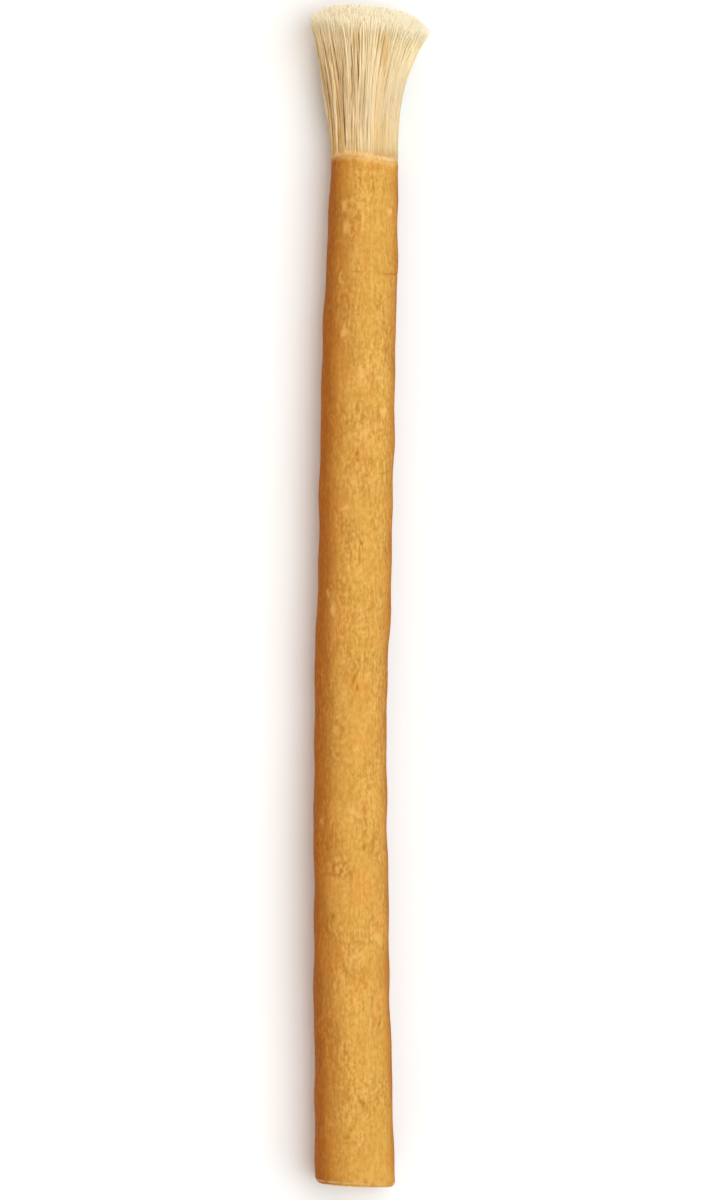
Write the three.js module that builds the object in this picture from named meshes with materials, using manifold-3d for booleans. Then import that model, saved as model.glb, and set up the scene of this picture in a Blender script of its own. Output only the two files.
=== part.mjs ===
// A miswak chewing stick: a cut twig that keeps its bark, peeled at one end, where the
// wood's own fibres are frayed out into a brush. It grew as one piece, so it is one mesh.
// It lies on its side along Y with the brush towards +Y. Millimetres, +Z up, with the
// origin on the resting surface, under the middle of the stick.

import * as THREE from "three";
import { mergeVertices } from "three/addons/utils/BufferGeometryUtils.js";
import Module from "manifold-3d";

// Driving dimensions of the twig
const LENGTH = 150;
const CUT_END_Y = -LENGTH / 2;
const TIPS_Y = LENGTH / 2;
const BARK_EDGE_Y = 55.6;
const SIDEWAYS = [-1.8, -2.1, -2.4, -2.53, -2.5, -2.52, -2.28, -1.97, -1.66, -1.34, -1.07, -0.74];
const THICKNESS = [10.05, 9.74, 9.62, 9.55, 9.45, 9.21, 9.37, 9.15, 9.2, 9.21, 9.03, 8.62];
const DEPTH_SHARE = 0.97;
const MIDDLE_BOW = 0.3;
const CUT_SLANT = 0.045;
const CUT_SLANT_RUN = 8;
const CUT_ROUNDING = 0.9;
const CUT_ROUNDING_STEPS = 3;

// Swellings and wrinkles of the bark: waves round the twig that wander along it
const BARK_WAVES = [
  { around: 2, along: 0.07, shift: 0.4, depth: 0.07 },
  { around: 3, along: -0.13, shift: 2.1, depth: 0.07 },
  { around: 1, along: 0.31, shift: 1.2, depth: 0.05 },
  { around: 4, along: 0.83, shift: 4.0, depth: 0.04 },
  { around: 5, along: -0.57, shift: 0.3, depth: 0.04 },
  { around: 9, along: -0.05, shift: 0.9, depth: 0.04 },
];
const BARK_SIDES = 36;
const BARK_RINGS = 56;

// The peeled wood that shows past the bark before it frays
const BARK_LIP = 0.35;
const PEEL_STEP = 0.22;
const PEEL_STEP_RUN = 0.02;
const PEEL_CHAMFER = 0.09;
const WOOD_BAND = 0.8;

// The frayed brush: rings of locks that lean out from the wood, over a heart of packed fibre
const LOCK_RINGS = [
  { locks: 1, reach: 0 },
  { locks: 7, reach: 0.3 },
  { locks: 13, reach: 0.57 },
  { locks: 18, reach: 0.8 },
  { locks: 24, reach: 1 },
];
const LOCK_SIDES = 6;
const LOCK_STATIONS = [
  { t: 0, radius: 0.66 },
  { t: 0.34, radius: 0.76 },
  { t: 0.62, radius: 0.86 },
  { t: 0.86, radius: 0.88 },
  { t: 0.97, radius: 0.72 },
  { t: 1, radius: 0.4 },
];
const LOCK_ROOT_INSET = 0.8;
const LOCK_TIP_INSET = 0.5;
const LOCK_WANDER = 0.22;
const LOCK_WANDER_WAVE = { along: 4, around: 5 };
const LOCK_UNEVENNESS = 0.4;
const LOCK_UNEVEN_WAVE = { around: 9, outward: 7 };
const BRUSH_HALF_WIDTH = 7.54;
const BRUSH_TOP_Z = 12;
const BRUSH_PRESSED = 0.4;
const TIPS_ARCH = 2.3;
const TIPS_ARCH_POWER = 4;
const TIPS_SLOPE = 0.8;
const TIPS_PEAK = 0.2;
const FLARE_LEFT = 1.3;
const FLARE_RIGHT = 2.7;
const HEART_SHARE = 0.82;
const HEART_REACH = 0.84;
const HEART_SIDES = 20;
const HEART_RINGS = 4;

// Colours as seen: tan bark, cream wood fibre
const BARK_COLOUR = new THREE.Color(0xd8a04c);
const FIBRE_COLOUR = new THREE.Color(0xe8cd98);

const { lerp, smoothstep } = THREE.MathUtils;

const wasm = await Module();
wasm.setup();

// A value at share t along a list of even stations, on a smooth curve through them.
function along(values, t) {
  const place = Math.min(Math.max(t, 0), 1) * (values.length - 1);
  const i = Math.min(Math.floor(place), values.length - 2);
  const u = place - i;
  const [b, c] = [values[i], values[i + 1]];
  const a = values[i - 1] ?? 2 * b - c;
  const d = values[i + 2] ?? 2 * c - b;
  return b + 0.5 * u * (c - a + u * (2 * a - 5 * b + 4 * c - d + u * (3 * (b - c) + d - a)));
}

// The twig's middle and half thickness where it crosses y.
function twigAt(y) {
  const t = (y - CUT_END_Y) / (BARK_EDGE_Y - CUT_END_Y);
  const radius = along(THICKNESS, t) / 2;
  const bow = MIDDLE_BOW * 4 * Math.max(t * (1 - t), 0);
  return { x: along(SIDEWAYS, t), z: radius * DEPTH_SHARE + bow, radius };
}

// How far the bark stands out at an angle round the twig, beside its mean radius.
function barkRelief(angle, y) {
  return BARK_WAVES.reduce(
    (sum, wave) => sum + wave.depth * Math.sin(wave.around * angle + wave.along * y + wave.shift),
    0,
  );
}

// A closed round bar, bent and swollen by place(angle, share along, share of radius).
function bar(sides, rings, place) {
  const geometry = new THREE.CylinderGeometry(1, 1, 1, sides, rings);
  geometry.deleteAttribute("normal");
  geometry.deleteAttribute("uv");
  const closed = mergeVertices(geometry);
  const position = closed.getAttribute("position");
  const point = new THREE.Vector3();
  for (let i = 0; i < position.count; i += 1) {
    point.fromBufferAttribute(position, i);
    const angle = Math.atan2(point.z, point.x);
    const moved = place(angle, point.y + 0.5, Math.hypot(point.x, point.z));
    position.setXYZ(i, moved.x, moved.y, moved.z);
  }
  return closed;
}

function solid(geometry) {
  return new wasm.Manifold(
    new wasm.Mesh({
      numProp: 3,
      vertProperties: geometry.getAttribute("position").array,
      triVerts: new Uint32Array(geometry.index.array),
    }),
  );
}

// The twig with its bark: rounded at the sawn end, stepping down to bare wood at the brush.
function twig() {
  const woodEnd = BARK_EDGE_Y + WOOD_BAND;
  const stations = [];
  for (let step = CUT_ROUNDING_STEPS; step > 0; step -= 1) {
    const turn = (step / CUT_ROUNDING_STEPS) * (Math.PI / 2);
    stations.push({
      y: CUT_END_Y + CUT_ROUNDING * (1 - Math.sin(turn)),
      inset: CUT_ROUNDING * (1 - Math.cos(turn)),
    });
  }
  const first = CUT_END_Y + CUT_ROUNDING;
  const last = BARK_EDGE_Y - BARK_LIP;
  for (let ring = 0; ring <= BARK_RINGS; ring += 1) {
    stations.push({ y: lerp(first, last, ring / BARK_RINGS), inset: 0 });
  }
  stations.push(
    { y: BARK_EDGE_Y, inset: PEEL_CHAMFER },
    { y: BARK_EDGE_Y + PEEL_STEP_RUN, inset: PEEL_STEP },
    { y: woodEnd, inset: PEEL_STEP },
  );
  return bar(BARK_SIDES, stations.length - 1, (angle, share, reach) => {
    const { y, inset } = stations[Math.round(share * (stations.length - 1))];
    const middle = twigAt(y);
    const radius = (middle.radius + barkRelief(angle, y) - inset) * reach;
    const fade = 1 - smoothstep(y, CUT_END_Y, CUT_END_Y + CUT_SLANT_RUN);
    return new THREE.Vector3(
      middle.x + radius * Math.cos(angle),
      y + CUT_SLANT * (middle.radius - radius * Math.cos(angle)) * fade,
      middle.z + radius * Math.sin(angle) * DEPTH_SHARE,
    );
  });
}

// Where a fibre that starts at (across, up) in the unit circle of the wood passes at share t
// of its length. The lowest ones are pressed a little into the surface the stick lies on.
function fibreAt(across, up, t) {
  const wood = twigAt(BARK_EDGE_Y);
  const reach = wood.radius - LOCK_ROOT_INSET;
  const tipZ = up > 0 ? BRUSH_TOP_Z - LOCK_TIP_INSET : LOCK_TIP_INSET - BRUSH_PRESSED;
  const arch = TIPS_ARCH * Math.hypot(across, up) ** TIPS_ARCH_POWER;
  const drop = TIPS_PEAK + arch + TIPS_SLOPE * across;
  const spread = t ** lerp(FLARE_LEFT, FLARE_RIGHT, (across + 1) / 2);
  return new THREE.Vector3(
    lerp(wood.x + across * reach, across * (BRUSH_HALF_WIDTH - LOCK_TIP_INSET), spread),
    lerp(BARK_EDGE_Y + WOOD_BAND / 2, TIPS_Y - drop, t),
    lerp(wood.z + up * reach * DEPTH_SHARE, lerp(wood.z, tipZ, Math.abs(up)), spread),
  );
}

// One lock of fibres, wandering a little, with a blunt tip.
function lock(reach, turn) {
  const across = reach * Math.cos(turn);
  const up = reach * Math.sin(turn);
  const uneven = Math.sin(LOCK_UNEVEN_WAVE.around * turn + LOCK_UNEVEN_WAVE.outward * reach);
  const short = LOCK_UNEVENNESS * uneven ** 2;
  return bar(LOCK_SIDES, LOCK_STATIONS.length - 1, (angle, share, rim) => {
    const { t, radius } = LOCK_STATIONS[Math.round(share * (LOCK_STATIONS.length - 1))];
    const middle = fibreAt(across, up, t);
    const wave = Math.sin(LOCK_WANDER_WAVE.along * t + LOCK_WANDER_WAVE.around * turn);
    const wander = LOCK_WANDER * Math.sin(Math.PI * t) * wave;
    return new THREE.Vector3(
      middle.x + wander * Math.sin(turn) + radius * rim * Math.cos(angle),
      middle.y - short * t,
      middle.z + wander * Math.cos(turn) + radius * rim * Math.sin(angle),
    );
  });
}

// Every lock of the brush, ring by ring.
function locks() {
  return LOCK_RINGS.flatMap(({ locks: count, reach }) =>
    Array.from({ length: count }, (_, i) => lock(reach, (2 * Math.PI * i) / count)),
  );
}

// The packed fibres inside the brush, which the locks stand on.
function heart() {
  return bar(HEART_SIDES, HEART_RINGS, (angle, share, rim) => {
    const reach = HEART_SHARE * rim;
    return fibreAt(reach * Math.cos(angle), reach * Math.sin(angle), share * HEART_REACH);
  });
}

// The surface it lies on, which presses the lowest fibres flat.
function floor() {
  const size = 2 * LENGTH;
  const slab = new THREE.BoxGeometry(size, size, size).translate(0, 0, -size / 2);
  slab.deleteAttribute("normal");
  slab.deleteAttribute("uv");
  return mergeVertices(slab);
}

// The outer shell alone, which fills any gap that is closed in between the locks.
function filled(made) {
  return made.decompose().reduce((a, b) => (b.volume() > a.volume() ? b : a));
}

function miswakStick() {
  const twigGeometry = twig();
  twigGeometry.computeBoundingBox();
  const lift = -twigGeometry.boundingBox.min.z;
  const brush = locks().reduce((sum, one) => sum.add(solid(one)), solid(heart()));
  const stick = solid(twigGeometry).add(brush);
  return filled(stick.translate([0, 0, lift]).subtract(solid(floor())));
}

// The joined solid as a flat-shaded mesh, tan where it is bark and cream where it is wood.
function meshOf(made) {
  const { vertProperties, triVerts } = made.getMesh();
  const geometry = new THREE.BufferGeometry()
    .setAttribute("position", new THREE.BufferAttribute(vertProperties, 3))
    .setIndex(new THREE.BufferAttribute(triVerts, 1))
    .toNonIndexed();
  geometry.computeVertexNormals();
  const position = geometry.getAttribute("position");
  const colours = new Float32Array(position.count * 3);
  for (let i = 0; i < position.count; i += 3) {
    const y = (position.getY(i) + position.getY(i + 1) + position.getY(i + 2)) / 3;
    const colour = y < BARK_EDGE_Y ? BARK_COLOUR : FIBRE_COLOUR;
    for (let corner = i; corner < i + 3; corner += 1) {
      colour.toArray(colours, corner * 3);
    }
  }
  geometry.setAttribute("color", new THREE.BufferAttribute(colours, 3));
  const dress = { vertexColors: true, roughness: 0.8, metalness: 0 };
  const mesh = new THREE.Mesh(geometry, new THREE.MeshStandardMaterial(dress));
  mesh.name = "miswak_stick";
  return mesh;
}

const part = new THREE.Group();
part.add(meshOf(miswakStick()));

export default part;
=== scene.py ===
"""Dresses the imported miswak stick: a chewing twig with its bark on and a frayed brush.

The stick lies on the floor along Y with its brush towards +Y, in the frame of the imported
model. Sizes in the classes are millimetres, and meshes are made in metres.
"""

import logging
import math
from collections.abc import Sequence
from dataclasses import dataclass
from enum import Enum

import bpy
import numpy as np
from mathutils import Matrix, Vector, noise


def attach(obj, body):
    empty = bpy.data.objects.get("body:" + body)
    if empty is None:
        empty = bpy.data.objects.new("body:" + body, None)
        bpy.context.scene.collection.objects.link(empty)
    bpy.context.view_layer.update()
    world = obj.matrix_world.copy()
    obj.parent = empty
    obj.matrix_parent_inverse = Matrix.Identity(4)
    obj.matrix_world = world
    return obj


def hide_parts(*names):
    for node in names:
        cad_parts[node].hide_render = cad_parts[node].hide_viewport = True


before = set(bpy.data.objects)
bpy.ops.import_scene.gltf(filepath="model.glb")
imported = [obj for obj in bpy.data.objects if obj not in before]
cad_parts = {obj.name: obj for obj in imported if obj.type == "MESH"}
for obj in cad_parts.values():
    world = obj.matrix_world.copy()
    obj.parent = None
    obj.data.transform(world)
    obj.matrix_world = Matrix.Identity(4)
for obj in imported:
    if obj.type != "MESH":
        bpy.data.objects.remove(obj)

MM = 0.001
NODE = "miswak_stick"
BODY = "root"
LOG = logging.getLogger("miswak")

# Where a change starts and where it ends
Span = tuple[float, float]
# A size across the twig and one along it, in millimetres
Size = tuple[float, float]
# Flattens points, so that a pattern stays the same along the twig
CROSSWISE = (1, 0, 1)


class Slot(Enum):
    """Names of the material slots."""

    BARK = "bark"
    FIBRE = "wood_fibre"


class MarkKind(Enum):
    """What a mark on the bark is."""

    LENTICEL = "pale corky breathing pore, a little proud"
    SPECK = "dark sunken fleck"
    PITTED = "patch of small pits"


# Helpers for colours, nodes and meshes


def linear(colour: str) -> tuple[float, float, float, float]:
    """Turns an sRGB hex colour to linear light.

    Args:
        colour: The colour as "#rrggbb".

    Returns:
        Red, green, blue and an alpha of 1.
    """
    channels = [int(colour[i : i + 2], 16) / 255 for i in (1, 3, 5)]
    # The curve that the sRGB standard gives
    light = [c / 12.92 if c <= 0.04045 else ((c + 0.055) / 1.055) ** 2.4 for c in channels]
    return (light[0], light[1], light[2], 1.0)


def add_node(
    tree: bpy.types.NodeTree,
    kind: str,
    inputs: dict[str, object] | None = None,
    **settings: object,
) -> bpy.types.Node:
    """Adds a shader node with its settings and links.

    Args:
        tree: The material's node tree.
        kind: The node's type.
        inputs: What feeds each input, by its identifier: another node's output, or else a
            value. A colour is a hex value.
        settings: The node's own properties.

    Returns:
        The new node.
    """
    node = tree.nodes.new(kind)
    for name, value in settings.items():
        setattr(node, name, value)
    sockets = {socket.identifier: socket for socket in node.inputs}
    for name, value in (inputs or {}).items():
        if isinstance(value, bpy.types.NodeSocket):
            tree.links.new(value, sockets[name])
        else:
            sockets[name].default_value = linear(value) if isinstance(value, str) else value
    return node


@dataclass(frozen=True)
class Blend:
    """How a colour comes in as a value goes from start to end, and how much of it at most."""

    start: float = 0.0
    end: float = 1.0
    most: float = 1.0

    def share(self, tree: bpy.types.NodeTree, value: bpy.types.NodeSocket) -> bpy.types.NodeSocket:
        """Gives the colour's share at a value, as a node's output."""
        inputs = {"Value": value, "From Min": self.start, "From Max": self.end, "To Max": self.most}
        return add_node(tree, "ShaderNodeMapRange", inputs).outputs["Result"]


def mixed(
    tree: bpy.types.NodeTree,
    low: str | bpy.types.NodeSocket,
    high: str | bpy.types.NodeSocket,
    value: bpy.types.NodeSocket,
    blend: Blend = Blend(),
) -> bpy.types.NodeSocket:
    """Goes from one colour to another as a value changes.

    Args:
        tree: The material's node tree.
        low: The first colour, as a hex value or an output.
        high: The colour that comes in, as a hex value or an output.
        value: The value.
        blend: Where the change starts and ends, and how much of it shows.

    Returns:
        The mixed colour's output.
    """
    inputs = {"Factor_Float": blend.share(tree, value), "A_Color": low, "B_Color": high}
    # The outputs of a mix are a number, a vector and then the colour
    return add_node(tree, "ShaderNodeMix", inputs, data_type="RGBA").outputs[2]


def texture(
    tree: bpy.types.NodeTree, kind: str, size: Size, inputs: dict[str, object], **settings: object
) -> bpy.types.Node:
    """Adds a texture of any kind, scaled so that one unit of it has a real size.

    Args:
        tree: The material's node tree.
        kind: The texture node's type.
        size: The unit's size.
        inputs: What feeds its other inputs.
        settings: The node's own properties.

    Returns:
        The texture node.
    """
    place = add_node(tree, "ShaderNodeTexCoord").outputs["Object"]
    across, along = (1 / (length * MM) for length in size)
    scaled = add_node(tree, "ShaderNodeMapping", {"Vector": place, "Scale": (across, along, across)})
    return add_node(tree, kind, {"Vector": scaled.outputs["Vector"], "Scale": 1.0, **inputs}, **settings)


def new_material(name: str) -> bpy.types.Material:
    """Makes an empty node material.

    Args:
        name: The material's name.

    Returns:
        The new material.
    """
    material = bpy.data.materials.new(name)
    material.use_nodes = True
    material.node_tree.nodes.clear()
    return material


def spline(values: Sequence[float], share: np.ndarray) -> np.ndarray:
    """Reads a smooth curve through evenly spaced values.

    Args:
        values: The values at even stations.
        share: Where to read, from 0 at the first to 1 at the last.

    Returns:
        The curve's value at each place.
    """
    table = np.asarray(values, float)
    padded = np.concatenate([[2 * table[0] - table[1]], table, [2 * table[-1] - table[-2]]])
    place = np.clip(share, 0, 1) * (len(table) - 1)
    i = np.minimum(place.astype(int), len(table) - 2)
    u = place - i
    a, b, c, d = (padded[i + k] for k in range(4))
    return b + 0.5 * u * (c - a + u * (2 * a - 5 * b + 4 * c - d + u * (3 * (b - c) + d - a)))


def smoothstep(low: float, high: float, value: np.ndarray) -> np.ndarray:
    """Goes smoothly from 0 at low to 1 at high, where high may be the smaller."""
    t = np.clip((value - low) / (high - low), 0, 1)
    return t * t * (3 - 2 * t)


def bell(value: np.ndarray, half_width: float | np.ndarray) -> np.ndarray:
    """Falls smoothly from 1 where the value is 0 to almost 0 past two half widths."""
    return np.exp(-((value / half_width) ** 2))


@dataclass(frozen=True)
class Lumps:
    """Smooth random lumps in space.

    size is how big they are along each axis in millimetres, and seed picks the pattern.
    """

    size: tuple[float, float, float]
    seed: float

    def at(self, points: np.ndarray) -> np.ndarray:
        """Reads the lumps' height.

        Args:
            points: Points in millimetres, with x, y and z last.

        Returns:
            A value from about -1 to 1 for each point.
        """
        flat = points.reshape(-1, 3) / np.array(self.size) + self.seed
        found = np.fromiter((noise.noise(Vector(p)) for p in flat.tolist()), float, len(flat))
        return found.reshape(points.shape[:-1])


def rows_round(sides: int, values: np.ndarray) -> tuple[np.ndarray, np.ndarray]:
    """Lays a row round the twig for each value, and gives every point's angle and value."""
    return tuple(np.meshgrid(np.linspace(0, 2 * math.pi, sides, endpoint=False), values))


def wrapped_grid(points: np.ndarray, close_end: bool) -> tuple[np.ndarray, np.ndarray]:
    """Finds the quads of a grid that is closed round in its second direction.

    Args:
        points: The grid's points, rows by sides by 3.
        close_end: Whether the last row is closed with triangles to its middle.

    Returns:
        All the points in a list, and the faces as rows of four indices. A triangle
        repeats its last index.
    """
    rows, sides = points.shape[:2]
    index = np.arange(rows * sides).reshape(rows, sides)
    following = np.roll(index, -1, axis=1)
    quads = np.stack([index[:-1], following[:-1], following[1:], index[1:]], -1).reshape(-1, 4)
    flat = points.reshape(-1, 3)
    if close_end:
        middle = np.full(sides, len(flat))
        flat = np.vstack([flat, points[-1].mean(0)])
        quads = np.vstack([quads, np.stack([index[-1], following[-1], middle, middle], -1)])
    return flat, quads


def make_piece(
    name: str,
    points: np.ndarray,
    quads: np.ndarray,
    material: bpy.types.Material,
    values: dict[str, np.ndarray] | None = None,
    bake_map: np.ndarray | None = None,
) -> bpy.types.Object:
    """Makes one smooth piece of the stick, riding on its body in place of the solid.

    Args:
        name: The piece's name.
        points: The points, in millimetres.
        quads: The faces as rows of four indices, where a triangle repeats its last.
        material: The finish.
        values: Numbers for each point that the finish reads, by name.
        bake_map: Where each point lies on the flat map of the finish.

    Returns:
        The new object.
    """
    is_quad = quads[:, 2] != quads[:, 3]
    corners = np.where(is_quad, 4, 3)
    keep = np.ones(quads.shape, bool)
    keep[~is_quad, 3] = False
    loops = quads[keep]
    mesh = bpy.data.meshes.new(name)
    mesh.vertices.add(len(points))
    mesh.vertices.foreach_set("co", (points * MM).astype(np.float32).ravel())
    mesh.loops.add(len(loops))
    mesh.loops.foreach_set("vertex_index", loops.astype(np.int32))
    mesh.polygons.add(len(quads))
    starts = np.concatenate([[0], np.cumsum(corners)[:-1]])
    mesh.polygons.foreach_set("loop_start", starts.astype(np.int32))
    mesh.update(calc_edges=True)
    mesh.shade_smooth()
    for key, numbers in (values or {}).items():
        layer = mesh.attributes.new(key, "FLOAT", "POINT")
        layer.data.foreach_set("value", numbers.astype(np.float32).ravel())
    if bake_map is not None:
        layer = mesh.uv_layers.new(name="OFBake")
        layer.data.foreach_set("uv", bake_map[loops].astype(np.float32).ravel())
    mesh.materials.append(material)
    piece = bpy.data.objects.new(name, mesh)
    bpy.context.scene.collection.objects.link(piece)
    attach(piece, BODY)
    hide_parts(NODE)
    LOG.info("%s: %d triangles", name, int((corners - 2).sum()))
    return piece


# Finishes


@dataclass(frozen=True)
class Finish:
    """What every finish has: how rough it is, how strongly it mirrors light and a fine relief."""

    roughness: float
    specular: float
    relief_mm: float = 0.0
    relief_strength: float = 0.5

    def _surfaced(
        self,
        made: bpy.types.Material,
        colour: str | bpy.types.NodeSocket,
        height: bpy.types.NodeSocket | None = None,
    ) -> bpy.types.Material:
        """Gives a material its surface.

        Args:
            made: The material.
            colour: Its colour, as a hex value or an output.
            height: The output that is its relief, where it has one.

        Returns:
            The same material.
        """
        tree = made.node_tree
        inputs = {"Base Color": colour, "Roughness": self.roughness, "Specular IOR Level": self.specular}
        if height is not None:
            relief = {"Height": height, "Strength": self.relief_strength, "Distance": self.relief_mm * MM}
            inputs["Normal"] = add_node(tree, "ShaderNodeBump", relief).outputs["Normal"]
        shader = add_node(tree, "ShaderNodeBsdfPrincipled", inputs)
        add_node(tree, "ShaderNodeOutputMaterial", {"Surface": shader.outputs["BSDF"]})
        return made


@dataclass(frozen=True)
class DryBark(Finish):
    """Dried bark of a young arak twig: thin, corky and matt.

    To the eye it is an even golden tan with a fine crackle of paler and browner cells,
    half a millimetre across, stronger in some patches than in others.
    """

    roughness: float = 0.85
    specular: float = 0.14
    relief_mm: float = 0.02
    body: str = "#d09b46"
    body_patches: Blend = Blend(0.2, 0.9)
    pale: str = "#dfad59"
    brown: str = "#be8636"
    clouds: Blend = Blend(0.25, 0.75)
    ochre: str = "#c99a3c"
    ochre_hues: Blend = Blend(0.5, 0.25, 0.4)
    russet: str = "#d88f3d"
    russet_hues: Blend = Blend(0.52, 0.75, 0.45)
    # Painted shade: a browner bark on the side away from the light and underneath, with darker copies of
    # crease and cork
    flank_shade: str = "#ab5d0a"
    flank_shade_shown: Blend = Blend(most=0.9)
    crease: str = "#a0641e"
    flank_shade_crease: str = "#83440c"
    creases: Blend = Blend(0.8, 0.54, 0.56)
    crackle_lines: Blend = Blend(0.12, 0.0, 0.2)
    cork: str = "#eec06f"
    flank_shade_cork: str = "#dc9a4c"
    cork_cells: Blend = Blend(0.78, 1.0, 0.4)
    # A value that the bark's points carry, the colour it brings and how much of that shows.
    # The first is painted shade in the crack, the pits and the low gaps between pebbles; the
    # last is worn bark with a painted highlight along the rounded edges
    marks: tuple[tuple[str, str, float], ...] = (
        ("hollow_shade", "#a0641e", 0.7),
        ("corky", "#e8b466", 0.72),
        ("flecked", "#a4680c", 0.95),
        ("worn", "#f0d29a", 0.8),
    )
    cloud_mm: Size = (3.2, 4.48)
    patch_mm: Size = (4.5, 6.75)
    hue_mm: Size = (2.4, 4.32)
    cell_mm: Size = (0.38, 0.7)
    streak_mm: Size = (0.4, 2.6)
    crackle_mm: Size = (0.7, 1.3)
    layer_weight: float = 0.55
    distortion: float = 0.35
    streak_share: float = 0.55
    # From which to which value of the patches the crackle grows, and from how weak to how strong
    patchiness: tuple[float, float, float, float] = (0.38, 0.62, 0.52, 0.95)
    # How much the painted shade on the side away from the light quiets the crackle
    flank_shade_calm: float = 0.3

    def material(self) -> bpy.types.Material:
        """Builds the bark's material.

        Returns:
            The new material.
        """
        made = new_material("dry_bark")
        tree = made.node_tree
        clouds = self._pattern(tree, self.cloud_mm, detail=3.0)
        patches = self._pattern(tree, self.patch_mm, detail=1.0)
        hues = self._pattern(tree, self.hue_mm, detail=2.0)
        cells = self._pattern(tree, self.cell_mm, detail=2.0)
        streaks = self._pattern(tree, self.streak_mm, detail=1.0)
        crackle = texture(
            tree, "ShaderNodeTexVoronoi", self.crackle_mm, {}, feature="DISTANCE_TO_EDGE"
        ).outputs["Distance"]
        # Painted shade on the side away from the light and underneath, as the bark's points carry it
        flank_shade = add_node(tree, "ShaderNodeAttribute", attribute_name="flank_shade").outputs["Fac"]
        colour = mixed(tree, self.brown, self.pale, clouds, self.clouds)
        colour = mixed(tree, self.body, colour, patches, self.body_patches)
        colour = mixed(tree, colour, self.ochre, hues, self.ochre_hues)
        colour = mixed(tree, colour, self.russet, hues, self.russet_hues)
        colour = mixed(tree, colour, self.flank_shade, flank_shade, self.flank_shade_shown)
        crackled = add_node(
            tree,
            "ShaderNodeMapRange",
            {"Value": patches, **dict(zip(("From Min", "From Max", "To Min", "To Max"), self.patchiness))},
            interpolation_type="SMOOTHSTEP",
        ).outputs["Result"]
        # The crackle shows less in the painted shade
        calm = add_node(
            tree,
            "ShaderNodeMath",
            {"Value": flank_shade, "Value_001": -self.flank_shade_calm, "Value_002": 1.0},
            operation="MULTIPLY_ADD",
        ).outputs["Value"]
        rough = add_node(
            tree, "ShaderNodeMath", {"Value": crackled, "Value_001": calm}, operation="MULTIPLY"
        ).outputs["Value"]
        fine = add_node(
            tree,
            "ShaderNodeMath",
            {"Value": streaks, "Value_001": self.streak_share, "Value_002": cells},
            operation="MULTIPLY_ADD",
        ).outputs["Value"]
        # Darker copies of crease and cork in the painted shade
        crease = mixed(tree, self.crease, self.flank_shade_crease, flank_shade)
        cork = mixed(tree, self.cork, self.flank_shade_cork, flank_shade)
        for shade, value, blend in (
            (crease, fine, self.creases),
            (cork, fine, self.cork_cells),
            (crease, crackle, self.crackle_lines),
        ):
            factors = {"Value": blend.share(tree, value), "Value_001": rough}
            share = add_node(tree, "ShaderNodeMath", factors, operation="MULTIPLY").outputs["Value"]
            colour = mixed(tree, colour, shade, share)
        for name, shade, most in self.marks:
            shown = add_node(tree, "ShaderNodeAttribute", attribute_name=name).outputs["Fac"]
            colour = mixed(tree, colour, shade, shown, Blend(most=most))
        return self._surfaced(made, colour, height=fine)

    def _pattern(self, tree: bpy.types.NodeTree, size: Size, detail: float) -> bpy.types.NodeSocket:
        """Draws noise from 0 to 1, with lumps of a real size and as many finer layers as detail says."""
        inputs = {"Detail": detail, "Roughness": self.layer_weight, "Distortion": self.distortion}
        return texture(tree, "ShaderNodeTexNoise", size, inputs).outputs["Fac"]


@dataclass(frozen=True)
class PeeledWood(Finish):
    """Bare young wood where the bark was peeled back and the fibres start.

    To the eye it is an orange tan at the bark that pales to cream as it frays, silky
    along the grain with browner streaks, with painted shade in the slots between its ridges
    and a painted shadow line under the bark's edge.
    """

    roughness: float = 0.65
    specular: float = 0.3
    at_bark: str = "#dfae66"
    frayed: str = "#ebc98c"
    # Browner wood for streaks along the grain, also used as painted shade in the slots and the painted
    # shadow line
    grain_and_slot_shade: str = "#b98544"
    slot_strands: Blend = Blend(0.56, 0.34, 0.5)
    slot_hollow_shade: Blend = Blend(0.2, 1.0, 0.8)
    strand_mm: Size = (0.2, 3.0)
    strand_layers: float = 3.0

    def material(self) -> bpy.types.Material:
        """Builds the peeled wood's material.

        Returns:
            The new material.
        """
        made = new_material("peeled_wood")
        tree = made.node_tree
        strands = texture(
            tree, "ShaderNodeTexNoise", self.strand_mm, {"Detail": self.strand_layers}
        ).outputs["Fac"]
        frayed = add_node(tree, "ShaderNodeAttribute", attribute_name="frayed").outputs["Fac"]
        hollow_shade = add_node(tree, "ShaderNodeAttribute", attribute_name="hollow_shade").outputs["Fac"]
        colour = mixed(tree, self.at_bark, self.frayed, frayed)
        colour = mixed(tree, colour, self.grain_and_slot_shade, strands, self.slot_strands)
        # Painted shade in the slots between the ridges and a painted shadow line under the bark's edge
        colour = mixed(tree, colour, self.grain_and_slot_shade, hollow_shade, self.slot_hollow_shade)
        return self._surfaced(made, colour)


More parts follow.
